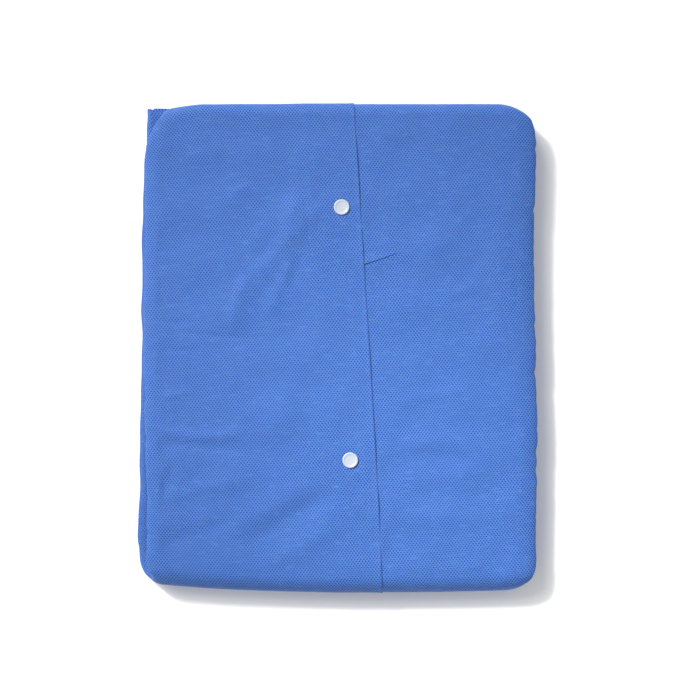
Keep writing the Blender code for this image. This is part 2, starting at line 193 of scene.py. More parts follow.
# Soft creases of the top third. Columns: start X and Y, middle X and Y, end X and Y, rise (a trough
# is negative), half breadth at the right of their run, half breadth at its left.
CREASES = (
    (-35.0, 130.0, -42.0, 82.0, -78.0, 45.0, 1.49, 7.0, 13.0),
    (-66.0, 56.0, -78.0, 38.0, -82.0, 6.0, 1.23, 5.5, 10.0),
    (-12.0, 112.0, -27.0, 96.0, -46.0, 76.0, 0.59, 5.0, 8.0),
    (-26.0, 112.0, -50.0, 96.0, -78.0, 74.0, 0.65, 6.0, 9.0),
    (-31.0, 73.0, -47.0, 46.0, -57.0, 20.0, 0.78, 3.5, 6.0),
    (-26.0, 76.0, -33.0, 62.0, -38.0, 42.0, -0.45, 3.5, 3.5),
    (-92.0, 106.0, -71.0, 123.5, -56.0, 106.0, 0.59, 7.0, 2.3),
    (-112.0, 92.0, -98.0, 84.0, -92.0, 66.0, -0.55, 8.0, 8.0),
    (-147.0, -58.0, -112.0, -69.0, -62.0, -62.0, 1.0, 5.0, 5.0),
    (-150.0, -78.0, -112.0, -74.0, -52.0, -84.0, -0.5, 5.0, 5.0),
    (-83.0, -64.0, -70.0, -52.0, -56.0, -40.0, 0.39, 1.8, 1.8),
    (-131.0, 14.0, -96.0, 9.0, -40.0, 7.6, -0.39, 1.7, 1.7),
    (-138.0, -38.7, -124.0, -36.0, -111.0, -33.0, 0.52, 2.4, 2.4),
    (-150.0, 36.0, -134.0, 34.0, -119.0, 35.0, -0.39, 1.8, 1.8),
    (-149.0, 22.0, -131.0, 19.0, -108.0, 21.0, -0.39, 1.8, 1.8),
    (-150.0, 1.0, -131.0, -2.0, -100.0, -1.0, -0.36, 1.8, 1.8),
    (-149.0, 66.0, -136.0, 64.0, -120.0, 66.0, -0.29, 2.0, 2.0),
    (-96.0, -145.0, -53.0, -122.0, -3.0, -95.0, 0.91, 8.5, 8.5),
    (-80.0, -155.0, -38.0, -130.0, 1.0, -109.0, -0.73, 6.5, 6.5),
    (-77.0, -176.0, -38.0, -157.0, 1.0, -134.0, 0.82, 7.5, 7.5),
    (-138.0, -158.0, -108.0, -142.0, -70.0, -130.0, -0.78, 6.0, 6.0),
    (-136.0, -118.0, -107.0, -108.0, -64.0, -100.0, 0.91, 6.0, 6.0),
    (-124.0, -84.0, -136.0, -110.0, -149.0, -137.0, -0.78, 4.0, 4.0),
    (-149.0, -146.0, -139.0, -166.0, -120.0, -182.0, 0.91, 3.6, 5.0),
    (-38.0, -19.0, -42.0, -48.0, -53.0, -80.0, 0.64, 12.0, 12.0),
    (-120.0, 140.0, -92.0, 150.0, -58.0, 148.0, 0.45, 8.0, 8.0),
    (36.0, -45.0, 70.0, -37.0, 105.0, -32.0, 0.55, 5.0, 5.0),
    (40.0, -76.0, 78.0, -72.0, 113.0, -77.0, 0.64, 6.0, 6.0),
    (38.0, -88.0, 74.0, -84.0, 112.0, -89.0, -0.55, 5.0, 5.0),
    (36.0, -104.0, 74.0, -99.0, 118.0, -95.0, 0.45, 5.0, 5.0),
    (38.0, -134.0, 74.0, -130.0, 122.0, -134.0, 0.64, 7.0, 7.0),
    (46.0, -118.0, 84.0, -113.0, 126.0, -114.0, -0.45, 5.0, 5.0),
    (46.0, -165.0, 86.0, -171.0, 120.0, -160.0, 0.55, 6.0, 6.0),
    (108.0, 118.0, 88.0, 101.0, 80.0, 79.0, -0.45, 4.0, 4.0),
    (110.0, 79.0, 97.0, 56.0, 82.0, 43.0, -0.51, 4.5, 4.5),
    (82.0, 30.0, 97.0, 38.0, 109.0, 38.0, -0.59, 3.2, 3.2),
    (60.0, 62.0, 78.0, 84.0, 92.0, 112.0, 0.55, 9.0, 9.0),
    (122.0, 170.0, 124.0, 80.0, 122.0, 5.0, 0.45, 8.0, 8.0),
    (20.0, 160.0, 60.0, 166.0, 104.0, 158.0, 0.45, 8.0, 8.0),
)

# Short troughs round the side folds, left side and right side. Columns: travel, depth, half breadth.
SIDE_TROUGHS = (
    (
        (-141.0, 0.7, 2.6), (-96.0, 0.6, 2.0), (-36.0, 0.8, 2.4), (2.0, 0.7, 1.8), (41.0, 0.9, 2.8),
        (73.0, 0.8, 2.2), (118.0, 0.9, 3.0), (149.0, 0.7, 2.0), (262.0, 0.8, 2.6), (331.0, 0.9, 3.2),
        (402.0, 0.7, 2.2), (487.0, 0.9, 3.0),
    ),
    (
        (-150.0, 0.8, 2.8), (-102.0, 0.7, 2.2), (-61.0, 0.9, 3.0), (-14.0, 0.6, 2.0), (22.0, 0.9, 2.6),
        (66.0, 0.7, 2.0), (97.0, 0.9, 3.2), (134.0, 0.7, 2.2), (243.0, 0.8, 2.8), (318.0, 0.7, 2.2),
        (376.0, 0.9, 3.0), (455.0, 0.8, 2.4),
    ),
)

# The embossed dots, and the cloth's blues
DOT_PITCH_X = 2.4
DOT_PITCH_Y = 3.17
DOT_WIDTH = 1.55
DOT_HEIGHT = 1.4
GROUND_BLUE = (0.073, 0.182, 0.485)
DOT_BLUE = (0.001, 0.028, 0.21)
FIBRE_BLUE = (0.13, 0.29, 0.80, 1)
STREAK_BLUE = (0.15, 0.31, 0.82, 1)
CLOUD_SHADE = 0.72
SNAP_WHITE = (0.378, 0.418, 0.478, 1)
SNAP_MILK = (0.418, 0.458, 0.518, 1)

# The hidden layers' band: its rows from the collar end to the hem, its inset under the fronts'
# cloth, and the flutes of its side folds
BAND_END_TURNS = (80.0, 65.0, 50.0, 35.0, 20.0)
BAND_ROWS = (90, 26, 80, 26, 60)
BAND_SHORT = 9.0
BAND_COLUMNS = 41
BAND_FLAT_COLUMNS = 30
BAND_INSET = 1.2
BAND_SIDE_INSET = 0.2
FLUTE = 0.45
FLUTE_ROOM = 0.35
FLUTE_SWINGS = 9.5
FLUTE_RUN = 31.0

# The thin cut layers at the hem
HEM_SHEETS = 7
SHEET_HALF = 0.24
SHEET_DEPTH = 12.0
SHEET_LOWEST = 0.95
SHEET_SHORTEST = 2.2
SHEET_SIDE_ROOM = 1.8
SHEET_UNEVEN = 3.0
SHEET_SHIFT = 0.01

# The small fold beside the closure: its free edge, its breadth and rise where it dies away and what
# the start has over these, and its lip. Columns: share of the breadth, share of the rise.
TUCK_START = (14.0, 62.6)
TUCK_CONTROL_Y = 67.2
TUCK_END = (48.0, 74.0)
TUCK_BREADTH = (1.2, 5.5)
TUCK_RISE = (0.1, 0.3)
TUCK_LEAN = 0.3
TUCK_SEAT = 0.02
TUCK_LIP = (
    (1.0, 0.0),
    (0.8, 0.1),
    (0.6, 0.28),
    (0.42, 0.5),
    (0.26, 0.74),
    (0.12, 0.93),
    (0.05, 0.99),
    (0.0, 1.0),
    (0.0, 0.7),
    (0.04, 0.5),
    (0.1, 0.2),
    (0.25, -0.3),
    (0.6, -0.9),
    (1.0, -1.2),
)

# The snaps' places, how deep a cap is seated, and its profile. Columns: radius, height.
SNAPS = ((1.5, 107.6), (8.1, -86.3))
SNAP_SINK = 0.28
SNAP_PROFILE = (
    (0.0, 0.98),
    (0.5, 0.99),
    (1.0, 1.05),
    (2.6, 1.07),
    (3.6, 1.08),
    (4.15, 1.16),
    (4.5, 1.34),
    (4.8, 1.46),
    (5.2, 1.5),
    (5.6, 1.44),
    (5.85, 1.3),
    (6.0, 1.05),
    (6.0, 0.5),
    (5.8, 0.15),
    (5.0, 0.0),
    (0.0, 0.0),
)

# The cloth's dent under a cap and the puckers round it
DENT = 0.3
DENT_BREADTH = 8.5
PUCKER = 0.07
PUCKER_COUNT = 9
PUCKER_PLACE = 9.0
PUCKER_BREADTH = 3.0

# Vertices nearer each other than this are merged, in metres
WELD_DISTANCE = 0.00001

# In metres: where the light comes from, what it is aimed at and how far off the lamps are; half the
# floor's side; and the camera's place
LIGHT_FROM = (-1.0, 1.1, 1.3)
LIGHT_AIM = (0.1, -0.12, 0.03)
LIGHT_DISTANCE = 2.5
FLOOR_HALF = 12.0
CAMERA_PLACE = (0.0101, -0.0026, 1.52)


def smooth(edge_0, edge_1, value):
    """0 before edge_0, 1 past edge_1, and 3t^2 - 2t^3 between them."""
    t = np.clip((value - edge_0) / (edge_1 - edge_0), 0.0, 1.0)
    return t * t * (3.0 - 2.0 * t)


def bell(distance, breadth):
    """1 at no distance, falling off as e to the minus square of distance over breadth."""
    return np.exp(-((distance / breadth) ** 2))


def curve(share, start, control, end):
    """A quadratic curve from start to end, drawn towards the control value on its way."""
    return (1 - share) ** 2 * start + 2 * share * (1 - share) * control + share**2 * end


def ripple(x, y, seed, waves, shortest, longest, rise):
    """Uneven ripples: a sum of sine waves whose lengths and directions come from a fixed seed."""
    pick = np.random.default_rng(seed)
    total = np.zeros(np.broadcast(x, y).shape)
    for _ in range(waves):
        length = shortest * (longest / shortest) ** pick.random()
        turn = pick.random() * math.pi
        phase = pick.random() * 2 * math.pi
        total += np.sin((x * math.cos(turn) + y * math.sin(turn)) * 2 * math.pi / length + phase)
    return rise * total / math.sqrt(waves)


def facing_at(travel):
    """The outer side's angle from +Y to +Z: 90 along the top, falling round the north fold and
    rising to 270 round the south fold, each in proportion to the travel past its start."""
    north = np.degrees(np.clip(-NORTH_CENTRE - travel, 0.0, NORTH_OUTER * math.pi) / NORTH_OUTER)
    south = np.degrees(np.clip(travel + SOUTH_CENTRE, 0.0, SOUTH_OUTER * math.pi) / SOUTH_OUTER)
    return 90.0 - north + south


def middle_line(travel):
    """Y and Z of the band's middle line: a straight run on each third and an arc round each fold."""
    turn = np.radians(facing_at(travel))
    north = travel < -NORTH_CENTRE
    south = travel > -SOUTH_CENTRE
    hem = np.maximum(travel - HEM_START, 0.0)
    collar = np.maximum(COLLAR_START - travel, 0.0)
    y = np.where(north, NORTH_CENTRE + NORTH_RADIUS * np.cos(turn) - collar, -travel)
    y = np.where(south, SOUTH_CENTRE + SOUTH_RADIUS * np.cos(turn) + hem, y)
    z = np.where(north, TOP_Z - NORTH_RADIUS + NORTH_RADIUS * np.sin(turn), TOP_Z)
    z = np.where(south, TOP_Z - SOUTH_RADIUS + SOUTH_RADIUS * np.sin(turn), z)
    return y, z


def side_edges(travel):
    """Left and right edge of the cloth: the outline's tables, less a bell curve at each corner, and
    a slight wobble."""
    y, _ = middle_line(travel)
    facing = facing_at(travel)
    low = np.where(travel < 0, 1.0 - smooth(*NORTH_BLEND, facing), smooth(*SOUTH_BLEND, facing))
    place, top_left, top_right, low_left, low_right = np.array(OUTLINE).T
    left = np.interp(y, place, top_left) * (1 - low) + np.interp(y, place, low_left) * low
    right = np.interp(y, place, top_right) * (1 - low) + np.interp(y, place, low_right) * low
    north = np.abs(travel + NORTH_CENTRE + NORTH_OUTER * math.pi / 2)
    south = np.abs(travel + SOUTH_CENTRE - SOUTH_OUTER * math.pi / 2)
    for away, corner in ((north, CORNER_NORTH), (south, CORNER_SOUTH)):
        left_draw, left_reach, right_draw, right_reach = corner
        left = left + left_draw * bell(away, left_reach)
        right = right - right_draw * bell(away, right_reach)
    hem = bell(NORTH_END - y, HEM_CORNER[1]) * (travel > HEM_START)
    end = bell(y - SOUTH_END - SOUTH_RADIUS, COLLAR_CORNER[1]) * (travel < COLLAR_START)
    left = left + COLLAR_CORNER[0] * end
    left = left + EDGE_WOBBLE * ripple(travel, 0.0 * travel, *LEFT_WOBBLE)
    right = right - HEM_CORNER[0] * hem - COLLAR_CORNER[0] * end
    right = right + EDGE_WOBBLE * ripple(travel, 0.0 * travel, *RIGHT_WOBBLE)
    return left, right


def roll_depths(travel):
    """Side folds' depths, blended from one third's to the next's round each fold."""
    facing = facing_at(travel)[:, None]
    north = travel[:, None] < 0
    before = np.where(north, np.array(ROLL_COLLAR), np.array(ROLL_HEM))
    share = np.where(north, smooth(-90.0, 90.0, facing), 1 - smooth(90.0, 270.0, facing))
    return np.array(ROLL_TOP) * share + before * (1.0 - share)


def closure_x(travel):
    """X of the right front's edge: its table, then on along the same slope, a little to the left."""
    place, across = np.array(CLOSURE_EDGE).T
    past = np.maximum(travel - place[-1], 0.0) - np.maximum(place[0] - travel, 0.0)
    return np.interp(travel, place, across) + CLOSURE_SLOPE * past - CLOSURE_SHIFT


def crease_height(x, y):
    """Rise of the creases. Each is a curve through three points read as short straight pieces; the
    rise falls off as a bell curve with distance, with a breadth of its own on each side, and fades
    out at both ends and round the snaps."""
    rise = np.zeros(x.shape)
    steps = np.linspace(0.0, 1.0, CREASE_STEPS)
    for x_0, y_0, x_1, y_1, x_2, y_2, height, breadth_right, breadth_left in CREASES:
        nearest = np.full(x.shape, 1e9)
        along = np.zeros(x.shape)
        breadth = np.full(x.shape, breadth_right)
        line_x = curve(steps, x_0, 2 * x_1 - (x_0 + x_2) / 2, x_2)
        line_y = curve(steps, y_0, 2 * y_1 - (y_0 + y_2) / 2, y_2)
        for k in range(CREASE_STEPS - 1):
            dx = line_x[k + 1] - line_x[k]
            dy = line_y[k + 1] - line_y[k]
            from_x = x - line_x[k]
            from_y = y - line_y[k]
            t = np.clip((from_x * dx + from_y * dy) / (dx * dx + dy * dy), 0, 1)
            away = np.hypot(from_x - t * dx, from_y - t * dy)
            closer = away < nearest
            left_of = dx * from_y - dy * from_x > 0
            along = np.where(closer, (k + t) / (CREASE_STEPS - 1), along)
            breadth = np.where(closer, np.where(left_of, breadth_left, breadth_right), breadth)
            nearest = np.minimum(away, nearest)
        strength = height * smooth(0.0, 0.25, along) * smooth(1.0, 0.75, along)
        rise += strength * bell(nearest, breadth)
    for x_0, y_0 in SNAPS:
        rise *= smooth(6.0, 20.0, np.hypot(x - x_0, y - y_0))
    return rise


def settle(points):
    """The pack's soft shape: a low crown, a south end that bows out in its middle, a north fold
    that drops back towards its corners, and a hem edge that slants out at the left."""
    x, y, z = np.moveaxis(points, -1, 0)
    crown = CROWN * np.clip(1 - (x / CROWN_REACH_X) ** 4, 0, 1)
    crown = crown * np.clip(1 - (y / CROWN_REACH_Y) ** 4, 0, 1)
    bow = SOUTH_BOW * np.abs((x - SOUTH_BOW_MIDDLE) / HALF_WIDTH) ** SOUTH_BOW_POWER - SOUTH_BULGE
    bow = bow * smooth(*SOUTH_REACH, y)
    hem = smooth(*HEM_TOP, z)
    drop = NORTH_DROP * np.clip((NORTH_DROP_START - x) / NORTH_DROP_RUN, 0.0, 1.5) ** 1.3
    drop = (drop + NORTH_DROP_RIGHT * smooth(*NORTH_DROP_RIGHT_REACH, x)) * (1.0 - hem)
    slant = HEM_SLANT * (0.5 - x / (2 * HALF_WIDTH)) * hem
    settled_y = y + bow + (slant - drop) * smooth(*NORTH_REACH, y)
    return np.stack([x, settled_y, z + crown * z / TOP_FACE], axis=-1)


def on_band(travel, across, height):
    """Points at a height out from the band's middle line, as a grid with a row for each travel."""
    y, z = middle_line(travel)
    turn = np.radians(facing_at(travel))
    out_y = y[:, None] + height * np.cos(turn)[:, None]
    out_z = z[:, None] + height * np.sin(turn)[:, None]
    return np.stack([across, out_y, out_z], axis=-1)


def flat_cloth(across, up):
    """The cloth's own coordinates in metres: across and up the pattern, turned by the slope of the
    closure so that the embossed rows run with the closure's edge."""
    tilt = math.atan(CLOSURE_SLOPE)
    u = across * math.cos(tilt) + up * math.sin(tilt)
    v = -across * math.sin(tilt) + up * math.cos(tilt)
    return np.stack([u, v], axis=-1) * MM + CLOTH_ORIGIN


def cloth_map(travel, across, height):
    """The cloth's own coordinates on a band: length along each section, which agrees with X at the
    column nearest X = 0, and travel."""
    steps = np.hypot(np.diff(across, axis=1), np.diff(height, axis=1))
    length = np.concatenate([np.zeros((len(travel), 1)), np.cumsum(steps, axis=1)], axis=1)
    middle = np.argmin(np.abs(across), axis=1)
    rows = np.arange(len(travel))
    length += (across[rows, middle] - length[rows, middle])[:, None]
    return flat_cloth(length, -travel[:, None] * np.ones(across.shape))


def travel_steps():
    """Travel from inside the north fold to the hem: even steps, wider under the coat."""
    start = -NORTH_CENTRE - NORTH_OUTER * math.radians(TUCKED_TURN)
    upper = np.linspace(start, HEM_START, int((HEM_START - start) / TRAVEL_PITCH))
    return np.concatenate([upper, np.linspace(HEM_START, HEM_EDGE, HEM_ROWS)[1:]])


def make_surface(name, points, cloth, material):
    """A mesh from a grid of points, a quad between each four, with its own cloth map."""
    rows, columns = points.shape[:2]
    number = np.arange(rows * columns).reshape(rows, columns)
    quads = np.stack([number[:-1, :-1], number[1:, :-1], number[1:, 1:], number[:-1, 1:]], axis=-1)
    quads = quads.reshape(-1, 4)
    mesh = bpy.data.meshes.new(name)
    mesh.vertices.add(rows * columns)
    mesh.vertices.foreach_set("co", ((points - OUTLINE_MIDDLE) * MM).reshape(-1))
    mesh.loops.add(quads.size)
    mesh.loops.foreach_set("vertex_index", quads.reshape(-1))
    mesh.polygons.add(len(quads))
    mesh.polygons.foreach_set("loop_start", np.arange(len(quads)) * 4)
    mesh.update(calc_edges=True)
    mesh.validate()
    layer = mesh.uv_layers.new(name="cloth")
    layer.data.foreach_set("uv", cloth.reshape(-1, 2)[quads.reshape(-1)].reshape(-1))
    mesh.shade_smooth()
    mesh.materials.append(material)
    thing = bpy.data.objects.new(name, mesh)
    bpy.context.scene.collection.objects.link(thing)
    return thing


def face_up(thing):
    """Flips every face if those near the top look down on the whole."""
    normals = np.zeros(len(thing.data.polygons) * 3)
    thing.data.polygons.foreach_get("normal", normals)
    centres = np.zeros(len(thing.data.polygons) * 3)
    thing.data.polygons.foreach_get("center", centres)
    centre_z = centres.reshape(-1, 3)[:, 2]
    if normals.reshape(-1, 3)[centre_z > 0.9 * centre_z.max(), 2].sum() < 0:
        thing.data.flip_normals()


def close_seams(thing):
    """Merges the vertices that lie on each other where a grid meets itself or shrinks to a point."""
    weld = thing.modifiers.new("closed", "WELD")
    weld.merge_threshold = WELD_DISTANCE


def give_thickness(thing):
    """The cloth's wall, on the inner side of the surface."""
    wall = thing.modifiers.new("cloth thickness", "SOLIDIFY")
    wall.thickness = CLOTH * MM
    wall.offset = -1.0
    wall.use_even_offset = False


def sewn_piece(name, travel, across, height, even_height, material):
    """A front as one wall of cloth. Its flat coordinates are measured without its creases."""
    points = settle(on_band(travel, across, height))
    piece = make_surface(name, points, cloth_map(travel, across, even_height), material)
    face_up(piece)
    give_thickness(piece)
    return piece


def soft_height(x, travel):
    """Creases and small ripples of the cloth on its top third, with no ripples round the snaps. The
    folds keep a quarter of the ripples, and the hem third under the coat has none."""
    travel = travel.reshape(len(travel), -1)
    y = -travel * np.ones(x.shape)
    top = smooth(-NORTH_CENTRE - 6, -NORTH_CENTRE + 8, -y)
    top = top * smooth(-SOUTH_CENTRE + 6, -SOUTH_CENTRE - 8, -y)
    waves = ripple(x, y, *SLOW_WAVES) + ripple(x, y, *FINE_WAVES)
    for x_0, y_0 in SNAPS:
        waves *= smooth(4.0, 16.0, np.hypot(x - x_0, y - y_0))
    under = smooth(HEM_START - 26, HEM_START - 8, travel)
    return crease_height(x, y) * top + waves * (0.25 + 0.75 * top) * (1 - under)


def snap_dents(x, travel):
    """The cloth is drawn down a little under and round each cap, a bell curve deep, with fine
    puckers: a sine round the cap times a bell curve across their ring."""
    y = -travel[:, None] * np.ones(x.shape)
    dent = np.zeros(x.shape)
    for x_0, y_0 in SNAPS:
        away = np.hypot(x - x_0, y - y_0)
        turn = np.arctan2(y - y_0, x - x_0)
        dent -= DENT * bell(away, DENT_BREADTH)
        dent += PUCKER * np.sin(turn * PUCKER_COUNT + x_0) * bell(away - PUCKER_PLACE, PUCKER_BREADTH)
    return dent


def side_fold(travel, depth_out, depth_in, side):
    """How far the cloth round a side fold lies in from its edge, and its height. The fold is half
    an ellipse, deeper on its outer half, pressed in a little by uneven ripples and by short troughs
    that run round it. Past it the cloth goes on flat along the inner face, furthest at the hem."""
    turn = np.radians(np.linspace(0.0, 180.0, FOLD_COLUMNS))[None, :] * np.ones(depth_in.shape)
    along = travel[:, None] + PRESS_SLANT * turn
    pressed = PRESS + ripple(PRESS_GIRTH * turn, along, PRESS_SEED + side, *PRESS_WAVES)
    for place, depth, breadth in SIDE_TROUGHS[side]:
        pressed = pressed + depth * bell(along - place, breadth)
    pressed = np.clip(pressed, 0.0, PRESS_LIMIT) * np.sin(turn) ** 2
    back = np.where(turn > math.pi / 2, depth_in, depth_out)
    inwards = back * (1.0 - np.sin(turn)) + pressed
    at_hem = smooth(HEM_START, HEM_START + 25.0, travel)[:, None]
    beyond = INNER_REACH + (HEM_INNER_REACH - INNER_REACH) * at_hem
    beyond = depth_in + beyond * np.array(INNER_COLUMNS)[None, :]
    height = np.concatenate([HALF_THICK * np.cos(turn), -HALF_THICK * np.ones(beyond.shape)], axis=1)
    return np.concatenate([inwards, beyond], axis=1), height


def right_front(material):
    """The right front: from its tucked side fold across to the edge that laps over the left front.
    Its facing, turned under, lifts a strip along that edge with a smooth step and a shallow seam;
    the edge itself drops off as a square and has a slight bead, a bell curve, beside it."""
    travel = travel_steps()
    left, _ = side_edges(travel)
    depth = roll_depths(travel)
    edge = closure_x(travel)[:, None]
    inwards, rolled_height = side_fold(travel, depth[:, 0:1], depth[:, 2:3], 0)
    rolled_x = left[:, None] + inwards[:, ::-1]
    rolled_height = rolled_height[:, ::-1]
    start = (left + depth[:, 0])[:, None]
    share = np.linspace(0.0, 1.0, RIGHT_COLUMNS)[1:][None, :]
    flat_x = start + (edge - 2.0 - start) * share
    flat_x = np.concatenate([flat_x, edge - np.array(EDGE_COLUMNS)[None, :]], axis=1)
    lifted = 1.0 - smooth(LAP_END, HEM_START - 6.0, travel)
    lifted = (LAP * lifted * (1.0 - 0.15 * smooth(90.0, 120.0, travel)))[:, None]
    inner = edge - FACING_WIDTH
    wander = 0.5 * ripple(flat_x * 0, travel[:, None], *FACING_WANDER)
    step = lifted * smooth(-FACING_SOFTNESS, FACING_SOFTNESS, flat_x - inner + wander)
    seam = -SEAM_DEPTH * bell(flat_x - inner - SEAM_PLACE, SEAM_BREADTH) * (lifted > 0)
    over = -EDGE_DROP * np.clip(1 - (edge - flat_x) / EDGE_DROP_BREADTH, 0, 1) ** 2
    over += EDGE_BEAD * bell(edge - flat_x - EDGE_BEAD_PLACE, 1.0) * (lifted / LAP)
    flat_height = HALF_THICK + step + seam + over + soft_height(flat_x, travel)
    flat_height = flat_height + snap_dents(flat_x, travel)
    across = np.concatenate([rolled_x, flat_x], axis=1)
    height = np.concatenate([rolled_height, flat_height], axis=1)
    even_height = np.concatenate([rolled_height, flat_x * 0 + HALF_THICK], axis=1)
    return sewn_piece("right_front_cloth", travel, across, height, even_height, material)


def left_front(material):
    """The left front: from its strip under the lap across to its own tucked side fold, in even steps
    on each. The strip lies lower and the creases begin past the lap's edge, each by a smooth step.
    Under the coat the strip ends and the two fronts lie edge to edge."""
    travel = travel_steps()
    _, right = side_edges(travel)
    depth = roll_depths(travel)
    edge = closure_x(travel)
    hidden = UNDERLAP * (1.0 - smooth(-SOUTH_CENTRE, LAP_END, travel)) - BUTT_GAP
    share = np.linspace(0.0, 1.0, STRIP_COLUMNS)[:-1][None, :]
    strip_x = (edge - hidden)[:, None] + (hidden + BESIDE_EDGE)[:, None] * share
    stop = (right - depth[:, 1])[:, None]
    share = np.linspace(0.0, 1.0, LEFT_COLUMNS)[None, :]
    flat_x = (edge + BESIDE_EDGE)[:, None] + (stop - (edge + BESIDE_EDGE)[:, None]) * share
    flat_x = np.concatenate([strip_x, flat_x], axis=1)
    beside = flat_x - edge[:, None]
    clear = smooth(0.5, 9.0, beside)
    lower = STRIP_DROP * smooth(-2.0, -10.0, beside)
    flat_height = HALF_THICK - EDGE_HOLLOW * (1.0 - clear) - lower
    flat_height = flat_height + soft_height(flat_x, travel) * clear
    inwards, rolled_height = side_fold(travel, depth[:, 1:2], depth[:, 2:3], 1)
    rolled_x = right[:, None] - inwards[:, 1:]
    rolled_height = rolled_height[:, 1:]
    across = np.concatenate([flat_x, rolled_x], axis=1)
    height = np.concatenate([flat_height, rolled_height], axis=1)
    even_height = np.concatenate([flat_x * 0 + HALF_THICK, rolled_height], axis=1)
    return sewn_piece("left_front_cloth", travel, across, height, even_height, material)


def tuck(material):
    """A small fold of the left front: the profile of a lip carried along a quadratic curve. The lip
    starts flush with the cloth, rises to its free lower edge and turns back under it. It comes out
    from under the lap, and its breadth and rise fall off in a smooth step to its end."""
    share = np.linspace(0.0, 1.0, 90)[:, None]
    line_x = TUCK_START[0] + (TUCK_END[0] - TUCK_START[0]) * share
    line_y = curve(share, TUCK_START[1], TUCK_CONTROL_Y, TUCK_END[1])
    full = 1.0 - smooth(0.6, 1.0, share)
    breadth = TUCK_BREADTH[0] + TUCK_BREADTH[1] * full
    across, rise = np.array(TUCK_LIP).T[:, None, :]
    x = line_x + across * breadth * TUCK_LEAN
    y = line_y + across * breadth
    z = TOP_FACE + TUCK_SEAT + rise * (TUCK_RISE[0] + TUCK_RISE[1] * full) + soft_height(x, -y)
    points = settle(np.stack([x, y, z], axis=-1))
    piece = make_surface("left_front_tuck", points, flat_cloth(x, y), material)
    face_up(piece)
    return piece


def snap_cap(name, spot, material):
    """A turned cap: a profile of radius and height carried round a full circle."""
    radius, height = np.array(SNAP_PROFILE).T[:, None, :]
    turn = np.linspace(0.0, 2 * math.pi, 65)[:, None]
    x = spot[0] + radius * np.cos(turn)
    y = spot[1] + radius * np.sin(turn)
    seat = settle(np.array([spot[0], spot[1], TOP_FACE + LAP - SNAP_SINK]))[2]
    z = seat + height * np.ones(x.shape)
    cloth = np.stack([x, y], axis=-1) * MM + CLOTH_ORIGIN
    piece = make_surface(name, np.stack([x, y, z], axis=-1), cloth, material)
    close_seams(piece)
    face_up(piece)
    return piece


def band_steps():
    """Travel of the hidden layers' rows, from the collar third's rounded end to the hem, and the
    share of the band's thickness at each: the cosine of the turn along the rounded end, then 1."""
    start = COLLAR_START - (NORTH_CENTRE - SOUTH_CENTRE)
    rounded = np.radians(np.array(BAND_END_TURNS))
    stops = (start, COLLAR_START, -NORTH_CENTRE, -SOUTH_CENTRE, HEM_START, HEM_EDGE - BAND_SHORT)
    runs = [start - HALF_THICK * np.sin(rounded), stops[:1]]
    for first, last, rows in zip(stops[:-1], stops[1:], BAND_ROWS):
        runs.append(np.linspace(first, last, rows)[1:])
    travel = np.concatenate(runs)
    thin = np.ones(len(travel))
    thin[: len(rounded)] = np.cos(rounded)
    return travel, thin


def folded_layers(material):
    """The hidden layers as one closed band: a ring at each travel, two flat faces and two side folds.
    The folds are half ellipses, fluted: a cosine of the turn round them, a swing for each few layers,
    times the root of its sine. The fronts' cloth covers the band from the north fold on, so it is
    drawn in there."""
    travel, thin = band_steps()
    covered = smooth(-90.0, -60.0, facing_at(travel)) * (travel > COLLAR_START - 0.1)
    left, right = side_edges(travel)
    inset = covered * (CLOTH + BAND_INSET)
    depth = roll_depths(travel) - inset[:, None]
    thick = ((HALF_THICK - inset) * thin)[:, None]
    left = (left + inset + BAND_SIDE_INSET * covered)[:, None]
    right = (right - inset - BAND_SIDE_INSET * covered)[:, None]
    turn = np.radians(np.linspace(0.0, 180.0, BAND_COLUMNS))[None, :]
    flute = FLUTE * np.cos(FLUTE_SWINGS * turn) * np.sin(turn) ** 0.5
    flute = flute * (0.7 + 0.3 * np.sin(travel / FLUTE_RUN)[:, None]) * (1.0 - 0.6 * covered[:, None])
    right_in = np.where(turn > math.pi / 2, depth[:, 2:3], depth[:, 1:2])
    left_in = np.where(turn > math.pi / 2, depth[:, 2:3], depth[:, 0:1])
    right_x = right - right_in * (1.0 - np.sin(turn)) - FLUTE_ROOM + flute
    left_x = left + left_in * (1.0 - np.sin(turn)) + FLUTE_ROOM - flute
    rolled_height = thick * np.cos(turn)
    share = np.linspace(0.0, 1.0, BAND_FLAT_COLUMNS)[1:-1][None, :]
    under = right_x[:, -1:] + (left_x[:, -1:] - right_x[:, -1:]) * share
    over = left_x[:, :1] + (right_x[:, :1] - left_x[:, :1]) * share
    flat = np.ones(over.shape) * thick
    across = np.concatenate([right_x, under, left_x[:, ::-1], over, right_x[:, :1]], axis=1)
    height = [rolled_height, -flat, rolled_height[:, ::-1], flat, rolled_height[:, :1]]
    height = np.concatenate(height, axis=1)
    first = np.full((1, across.shape[1]), across[0].mean())
    last = np.full((1, across.shape[1]), across[-1].mean())
    across = np.concatenate([first, across, last], axis=0)
    height = np.concatenate([0 * height[:1], height, 0 * height[-1:]], axis=0)
    travel = np.concatenate([travel[:1], travel, travel[-1:]])
    points = settle(on_band(travel, across, height))
    cloth = cloth_map(travel, across, height)
    piece = make_surface("folded_layers_cloth", points, cloth, material)
    face_up(piece)
    close_seams(piece)
    return piece


